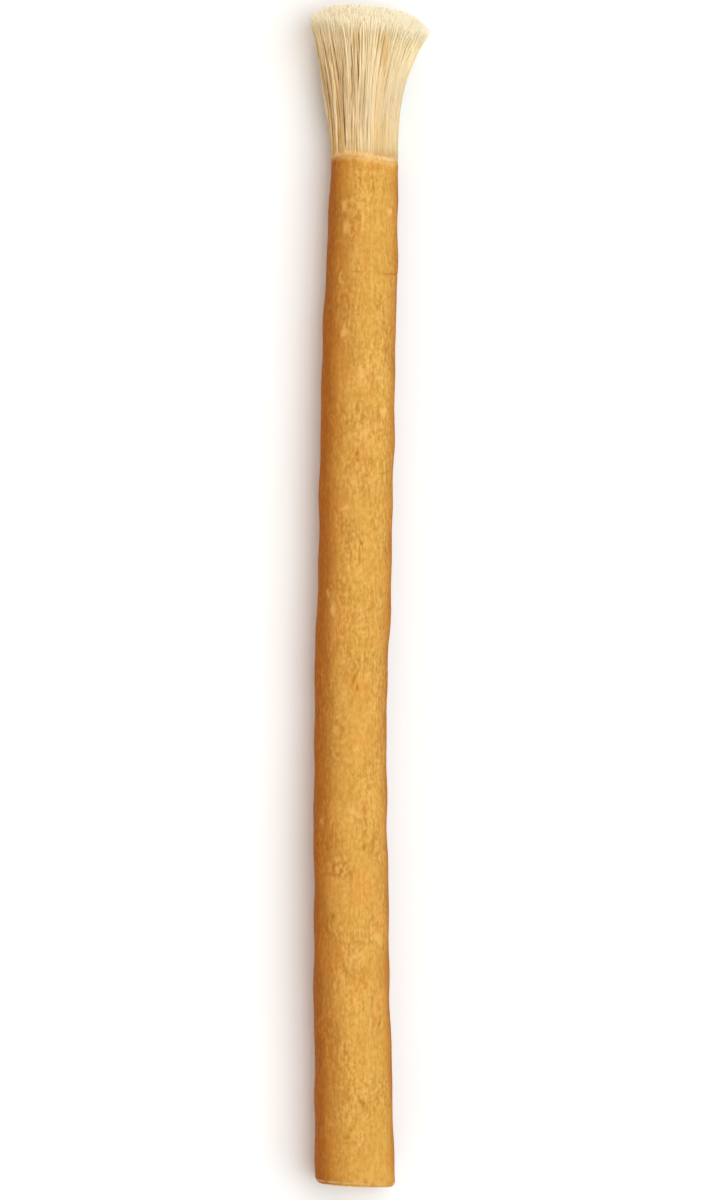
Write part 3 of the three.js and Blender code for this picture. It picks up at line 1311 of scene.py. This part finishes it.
@dataclass(frozen=True)
class FibreTint:
    """How light or deep the fibres are, which turns their colour between cream and gold.

    The spans called part are of the share of the brush's length, those called side are
    from left to right, and those called depth are from the brush's heart outward. Beside the
    fibres' own tone, the tint holds painted shade deep in the brush, beside its gaps and along
    its partings, and painted light on the left with painted shade on the right.
    """

    own_spread: float = 0.2
    lock_spread: float = 0.3
    lock_turns: float = 9.0
    root_gain: float = 0.5
    root_part: Span = (0.45, 0.1)
    # Painted light on the left, most near the tips, where the fibres turn away from the light
    painted_left_light: float = 0.05
    painted_left_tip_light: float = 0.25
    left_side: Span = (0.1, -0.9)
    left_tip_part: Span = (0.75, 0.95)
    # Painted shade on the right
    painted_right_shade: float = 0.1
    right_side: Span = (-0.1, 0.5)
    right_part: Span = (0.95, 0.7)
    # Painted shade on the fibres deep in the brush, seen through its gaps
    painted_heart_shade: float = 1.1
    heart_depth: Span = (0.97, 0.85)
    heart_part: Span = (0.9, 0.6)
    # Painted shade on the fibres at the edges of the locks, beside the gaps
    painted_gap_shade: float = 0.45
    gap_depth: Span = (0.02, 0.07)
    gap_part: Span = (0.95, 0.7)
    # Partings on top, painted as lines of shade: where they are across the tips, how they lean and their
    # half width
    partings: tuple[tuple[float, float, float], ...] = ((-0.355, 0.75, 0.08), (0.207, 0.55, 0.12))
    painted_parting_shade: float = 0.6
    parting_narrow: float = 0.4
    parting_wide_part: Span = (0.7, 0.95)
    parting_start_part: Span = (0.45, 0.75)
    parting_end_part: Span = (1.0, 0.9)

    def at(self, strands: Strands, locks: Locks, shade: float, own: np.ndarray) -> np.ndarray:
        """Works out the tint of every point of the fibres.

        Args:
            strands: Where the fibres run.
            locks: The locks that they are drawn to.
            shade: The tint that their sort has.
            own: How much lighter each fibre is by itself.

        Returns:
            The tint, from below 0 for deep gold to about 1 for cream.
        """
        t, streaky = strands.t, strands.streaky
        side, depth = strands.root[:, 0, None], np.hypot(*strands.root.T)[:, None]
        lighter = own + self.lock_spread * np.sin(self.lock_turns * locks.sway[strands.lock, 0])
        tint = shade + lighter[:, None] * streaky * (1 + self.root_gain * smoothstep(*self.root_part, t))
        # Painted light on the left, most near the tips
        tips = self.painted_left_light + self.painted_left_tip_light * smoothstep(*self.left_tip_part, t)
        tint += smoothstep(*self.left_side, side) * tips
        # Painted shade on the right
        tint -= self.painted_right_shade * smoothstep(*self.right_side, side) * smoothstep(*self.right_part, t)
        # Painted shade on the fibres deep in the brush
        heart = smoothstep(*self.heart_depth, depth) * smoothstep(*self.heart_part, t)
        tint -= self.painted_heart_shade * streaky * heart
        # Painted shade on the fibres beside the gaps between the locks
        away = np.hypot(*(strands.root - locks.centres[strands.lock]).T)
        gaps = (locks.firmness[strands.lock] * smoothstep(*self.gap_depth, away))[:, None]
        tint -= self.painted_gap_shade * streaky * gaps * smoothstep(*self.gap_part, t)
        # Painted shade along the partings
        for place, lean, half_width in self.partings:
            spread = smoothstep(*self.parting_wide_part, t)
            wide = half_width * (self.parting_narrow + (1 - self.parting_narrow) * spread)
            parting = self.painted_parting_shade * bell(strands.across - place - lean * (1 - t), wide)
            part = smoothstep(*self.parting_start_part, t) * smoothstep(*self.parting_end_part, t)
            tint -= parting * part
        return tint


@dataclass
class Brush:
    """The peeled end, where the wood's own fibres are frayed out.

    The spans called part are of the share of the brush's length, those called side are
    from left to right, and drawn_depth is from the brush's heart outward.
    """

    twig: Twig
    sorts: tuple[FibreSort, ...] = (
        FibreSort(
            name="fibres", count=4600, shell=3.0, radii=(0.065, 0.075, 0.085, 0.1, 0.055), sides=4,
            stations=9, start=(-0.05, 0.0), shortness=0.035, wander=0.06, fray=0.12, shade=0.55,
        ),
        FibreSort(
            name="hairs", count=4600, shell=6.0, radii=(0.04, 0.045, 0.05, 0.065, 0.035), sides=3,
            stations=9, start=(-0.03, 0.02), shortness=0.05, wander=0.14, fray=0.2, shade=0.7,
        ),
        FibreSort(
            name="split_tips", count=7600, shell=2.4, radii=(0.04, 0.045, 0.04, 0.018), sides=3,
            stations=5, start=(0.8, 0.94), shortness=0.035, wander=0.1, fray=0.3, shade=0.95,
        ),
    )
    tint: FibreTint = FibreTint()
    lock_count: int = 380
    lock_shell: float = 2.2
    lock_reach: float = 0.97
    lock_firmness: Span = (0.3, 1.1)
    least_firm: float = 0.2
    firm_side: Span = (0.0, -0.4)
    step_spread: Span = (0.2, 0.8)
    turn_spread: float = 0.12
    half_width: float = 7.45
    top_z: float = 11.9
    pressed: float = 0.3
    root_inset: float = 0.12
    tips_y: float = 74.9
    tips_arch: float = 2.3
    arch_power: int = 4
    tips_slope: float = 0.8
    tips_peak: float = 0.2
    wood_band: float = 0.8
    flare_left: float = 1.25
    flare_right: float = 2.7
    # How strongly the locks draw, at even steps from the root to the tips
    pull: tuple[float, ...] = (0.2, 0.5, 0.58, 0.58, 0.5, 0.3, 0.0)
    most_pull: float = 0.9
    drawn_depth: Span = (0.7, 0.95)
    crowding: float = 0.6
    crowded_part: Span = (0.16, 0.0)
    least_streaky: float = 0.25
    root_streaky: float = 0.2
    root_part: Span = (0.45, 0.2)
    streaky_side: Span = (0.2, -0.35)
    lock_wander: float = 0.2
    lock_pace: float = 4.5
    fibre_pace: Span = (5.0, 11.0)
    fray_from: float = 0.7
    fray_power: int = 3
    # How far ahead of the brush's end the tips are, in shortnesses: the mean and the spread
    tips_ahead: tuple[float, float] = (-0.7, 0.8)
    most_ahead: float = 0.4
    radius_spread: Span = (0.75, 1.25)
    widest: float = 7.6
    highest: float = 12.15
    # Where a tint lies on the flat map of the finish: this many times itself, and moved on
    map_scale: float = 0.4
    map_shift: float = 0.3
    most_triangles: int = 190_000
    seed: int = 24

    def build(self, finish: WoodFibre) -> list[bpy.types.Object]:
        """Builds every fibre of the brush.

        Args:
            finish: The fibres' finish.

        Returns:
            The new pieces.
        """
        random = np.random.default_rng(self.seed)
        centres = self._spread(self.lock_count, self.lock_shell, random) * self.lock_reach
        firm = self.least_firm + (1 - self.least_firm) * smoothstep(*self.firm_side, centres[:, 0])
        firmness = random.uniform(*self.lock_firmness, self.lock_count) * firm
        locks = Locks(centres, firmness, random.uniform(0, 2 * math.pi, (self.lock_count, 2)))
        material = finish.material()
        return [piece for sort in self.sorts for piece in self._fibres(sort, locks, material, random)]

    def _spread(self, count: int, shell: float, random: np.random.Generator) -> np.ndarray:
        """Spreads places over a round section, each at the golden angle from the one before.

        Args:
            count: How many places there are.
            shell: 2 spreads them evenly, and more gathers them near the outside.
            random: The source of chance.

        Returns:
            The places, within 1 of the middle.
        """
        number = np.arange(count) + random.uniform(*self.step_spread, count)
        turn = number * math.pi * (3 - math.sqrt(5)) + random.normal(0, self.turn_spread, count)
        reach = (number / count) ** (1 / shell)
        return np.stack([reach * np.cos(turn), reach * np.sin(turn)], -1)

    def course(self, across: np.ndarray, up: np.ndarray, t: np.ndarray) -> np.ndarray:
        """Places points in the brush, as the solid's locks run.

        Args:
            across: Where the fibre is in the brush, from -1 at its left to 1 at its right.
            up: Where it is from -1 underneath to 1 on top.
            t: The share of its length.

        Returns:
            The points, in millimetres.
        """
        edge = np.array(self.twig.bark_edge_y)
        wood_x, wood_z = self.twig.middle(edge)
        lift = self.twig.lift()
        reach = self.twig.radius(edge) - self.root_inset
        arch = self.tips_arch * np.hypot(across, up) ** self.arch_power
        drop = self.tips_peak + arch + self.tips_slope * across
        tip_z = np.where(up > 0, self.top_z, -self.pressed) - lift
        flare = self.flare_left + (self.flare_right - self.flare_left) * (across + 1) / 2
        spread = np.maximum(t, 0) ** flare
        root_y = edge + self.wood_band / 2
        x_root, x_tip = wood_x + across * reach, across * self.half_width
        z_root = wood_z + up * reach * self.twig.depth_share
        z_tip = wood_z + (tip_z - wood_z) * np.abs(up)
        return np.stack(
            [
                x_root + (x_tip - x_root) * spread,
                root_y + (self.tips_y - drop - root_y) * t,
                z_root + (z_tip - z_root) * spread + lift,
            ],
            -1,
        )

    def _fibres(
        self,
        sort: FibreSort,
        locks: Locks,
        material: bpy.types.Material,
        random: np.random.Generator,
    ) -> list[bpy.types.Object]:
        """Builds one sort of fibre, as thin tapered tubes drawn together in locks.

        Args:
            sort: The sort of fibre.
            locks: The locks.
            material: The fibres' material.
            random: The source of chance.

        Returns:
            The pieces, each under the limit of triangles.
        """
        root = self._spread(sort.count, sort.shell, random)
        lock = np.argmin(((root[:, None] - locks.centres[None]) ** 2).sum(-1), 1)
        first = random.uniform(*sort.start, sort.count)[:, None]
        ahead = np.minimum(random.normal(*self.tips_ahead, sort.count), self.most_ahead)[:, None]
        last = 1 + sort.shortness * ahead
        t = first + (last - first) * np.linspace(0, 1, sort.stations)[None, :]
        drawn = locks.firmness[lock] * smoothstep(*self.drawn_depth, np.hypot(*root.T))
        pull = np.clip(spline(self.pull, t) * drawn[:, None], 0, self.most_pull)
        across, up = (
            root[:, axis, None] * (1 - pull) + locks.centres[lock, axis, None] * pull for axis in (0, 1)
        )
        crowd = np.hypot(across, up) ** (-self.crowding * smoothstep(*self.crowded_part, t))
        points = self.course(across * crowd, up * crowd, t)
        least = self.least_streaky + self.root_streaky * smoothstep(*self.root_part, t)
        streaky = least + (1 - least) * smoothstep(*self.streaky_side, root[:, 0])[:, None]
        middle = np.sin(math.pi * np.clip(t, 0, 1)) * streaky
        along = (t - first) / (last - first)
        for axis, phase in ((0, locks.sway[lock, 0, None]), (2, locks.sway[lock, 1, None])):
            own_phase = random.uniform(0, 2 * math.pi, sort.count)[:, None]
            own_pace = random.uniform(*self.fibre_pace, sort.count)[:, None]
            fray = sort.fray * random.normal(size=sort.count)[:, None]
            points[..., axis] += self.lock_wander * middle * np.sin(self.lock_pace * t + phase)
            points[..., axis] += sort.wander * middle * np.sin(own_pace * t + own_phase)
            points[..., axis] += fray * along**self.fray_power * (t > self.fray_from)
        radius = spline(sort.radii, along) * random.uniform(*self.radius_spread, sort.count)[:, None]
        points[..., 0] = np.clip(points[..., 0], -self.widest, self.widest)
        points[..., 2] = np.clip(points[..., 2], radius, self.highest)
        own = random.normal(0, self.tint.own_spread, sort.count)
        tint = self.tint.at(Strands(root, lock, t, across, streaky), locks, sort.shade, own)
        return self._tubes(sort, points, radius, t, tint, material)

    def _tubes(
        self,
        sort: FibreSort,
        points: np.ndarray,
        radius: np.ndarray,
        t: np.ndarray,
        tint: np.ndarray,
        material: bpy.types.Material,
    ) -> list[bpy.types.Object]:
        """Builds closed tubes along lines of points.

        Args:
            sort: The sort of fibre.
            points: The lines, fibres by stations by 3.
            radius: The tubes' radius at each point.
            t: The share of the brush's length at each point.
            tint: The shade of each point.
            material: The fibres' material.

        Returns:
            The pieces.
        """
        sides, stations = sort.sides, sort.stations
        corner = 2 * math.pi * np.arange(sides) / sides
        ring = np.stack([np.cos(corner), np.zeros(sides), np.sin(corner)], -1)
        skin = points[:, :, None, :] + radius[:, :, None, None] * ring
        per_fibre = 2 * sides * (stations - 1) + 2 * (sides - 2)
        per_piece = self.most_triangles // per_fibre
        index = np.arange(stations * sides).reshape(stations, sides)
        following = np.roll(index, -1, axis=1)
        tube = np.stack([index[:-1], index[1:], following[1:], following[:-1]], -1).reshape(-1, 4)
        ends = [index[0], index[-1][::-1]]
        caps = [np.append(e, e[-1]) if sides == 3 else e for e in ends]
        one = np.vstack([tube, *caps])
        made = []
        for number, start in enumerate(range(0, len(points), per_piece), 1):
            part = slice(start, start + per_piece)
            fibres = len(points[part])
            steps = np.arange(fibres)[:, None, None] * (stations * sides)
            along = np.repeat(np.clip(t[part], 0, 1)[:, :, None], sides, 2).ravel()
            shade = np.repeat(tint[part][:, :, None], sides, 2).ravel()
            made.append(
                make_piece(
                    f"{sort.name}_{number}",
                    skin[part].reshape(-1, 3),
                    (one[None] + steps).reshape(-1, 4),
                    material,
                    {"along": along, "tint": shade},
                    np.stack([np.clip(shade * self.map_scale + self.map_shift, 0, 1), along], -1),
                )
            )
        return made


# The studio


@dataclass(frozen=True)
class Softbox:
    """A round softbox that hangs over the stick and points at it."""

    name: str
    watts: float
    colour: tuple[float, float, float]
    tilt_deg: float
    turn_deg: float
    size_m: float = 1.4
    distance_m: float = 2.0

    def build(self) -> None:
        """Hangs the light."""
        light = bpy.data.lights.new(self.name, "AREA")
        light.energy = self.watts
        light.color = self.colour
        light.shape = "DISK"
        light.size = self.size_m
        lamp = bpy.data.objects.new(self.name, light)
        tilt, turn = math.radians(self.tilt_deg), math.radians(self.turn_deg)
        way = Vector((math.sin(tilt) * math.cos(turn), math.sin(tilt) * math.sin(turn), math.cos(tilt)))
        lamp.location = way * self.distance_m
        lamp.rotation_euler = way.to_track_quat("Z", "Y").to_euler()
        bpy.context.scene.collection.objects.link(lamp)


@dataclass(frozen=True)
class Studio:
    """A plain pale floor, soft light and a camera that looks straight down."""

    image_width: int = 728
    image_height: int = 1200
    pixels_per_mm: float = 7.887
    stick_pixel_x: float = 370.5
    stick_pixel_y: float = 596.5
    lens_mm: float = 250.0
    sensor_mm: float = 36.0
    focus_height_mm: float = 7.0
    floor_m: float = 6.0
    clip_near_m: float = 0.01
    clip_far_m: float = 10.0
    softboxes: tuple[Softbox, ...] = (
        Softbox("softbox_right", 41.0, (0.86, 0.955, 1.0), tilt_deg=25.0, turn_deg=0.0, size_m=2.2),
        Softbox("softbox_tips", 17.0, (1.0, 0.76, 0.56), tilt_deg=62.0, turn_deg=90.0),
        Softbox("softbox_end", 9.0, (1.0, 0.68, 0.5), tilt_deg=62.0, turn_deg=-115.0),
    )
    sky: str = "#ffffff"
    sky_strength: float = 0.32

    def build(self, floor: FloorPaper) -> None:
        """Builds the floor, the lights and the camera.

        Args:
            floor: The floor's finish.
        """
        self._floor(floor)
        for softbox in self.softboxes:
            softbox.build()
        self._sky()
        self._camera()
        bpy.context.scene.view_settings.view_transform = "Standard"

    def _floor(self, finish: FloorPaper) -> None:
        """Lays the floor at the height the stick rests on.

        Args:
            finish: The floor's finish.
        """
        half = self.floor_m / 2
        corners = [(-half, -half, 0), (half, -half, 0), (half, half, 0), (-half, half, 0)]
        mesh = bpy.data.meshes.new("floor")
        mesh.from_pydata(corners, [], [(0, 1, 2, 3)])
        mesh.materials.append(finish.material())
        floor = bpy.data.objects.new("floor", mesh)
        bpy.context.scene.collection.objects.link(floor)

    def _sky(self) -> None:
        """Sets a weak even light from all round."""
        world = bpy.data.worlds.new("sky")
        world.use_nodes = True
        background = world.node_tree.nodes["Background"]
        background.inputs["Color"].default_value = linear(self.sky)
        background.inputs["Strength"].default_value = self.sky_strength
        bpy.context.scene.world = world

    def _camera(self) -> None:
        """Points the camera down so that the stick lies where the photograph has it."""
        data = bpy.data.cameras.new("camera")
        data.lens = self.lens_mm
        data.sensor_width = self.sensor_mm
        camera = bpy.data.objects.new("camera", data)
        field_mm = self.image_height / self.pixels_per_mm
        distance = field_mm * self.lens_mm / self.sensor_mm
        x = (self.image_width / 2 - self.stick_pixel_x) / self.pixels_per_mm
        y = (self.stick_pixel_y - self.image_height / 2) / self.pixels_per_mm
        camera.location = Vector((x, y, distance + self.focus_height_mm)) * MM
        data.clip_start, data.clip_end = self.clip_near_m, self.clip_far_m
        bpy.context.scene.collection.objects.link(camera)
        bpy.context.scene.camera = camera


def main() -> None:
    """Builds the stick and its studio, and notes how many pieces the stick has."""
    logging.basicConfig(level=logging.INFO, format="%(name)s: %(message)s")
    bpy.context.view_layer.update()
    twig = Twig()
    pieces = [
        Handle(twig).build(DryBark()),
        SawnEnd(twig).build(SawnWood()),
        PeeledBand(twig).build(PeeledWood()),
        *Brush(twig).build(WoodFibre()),
    ]
    LOG.info("the stick: %d pieces", len(pieces))
    Studio().build(FloorPaper())


if __name__ == "__main__":
    main()
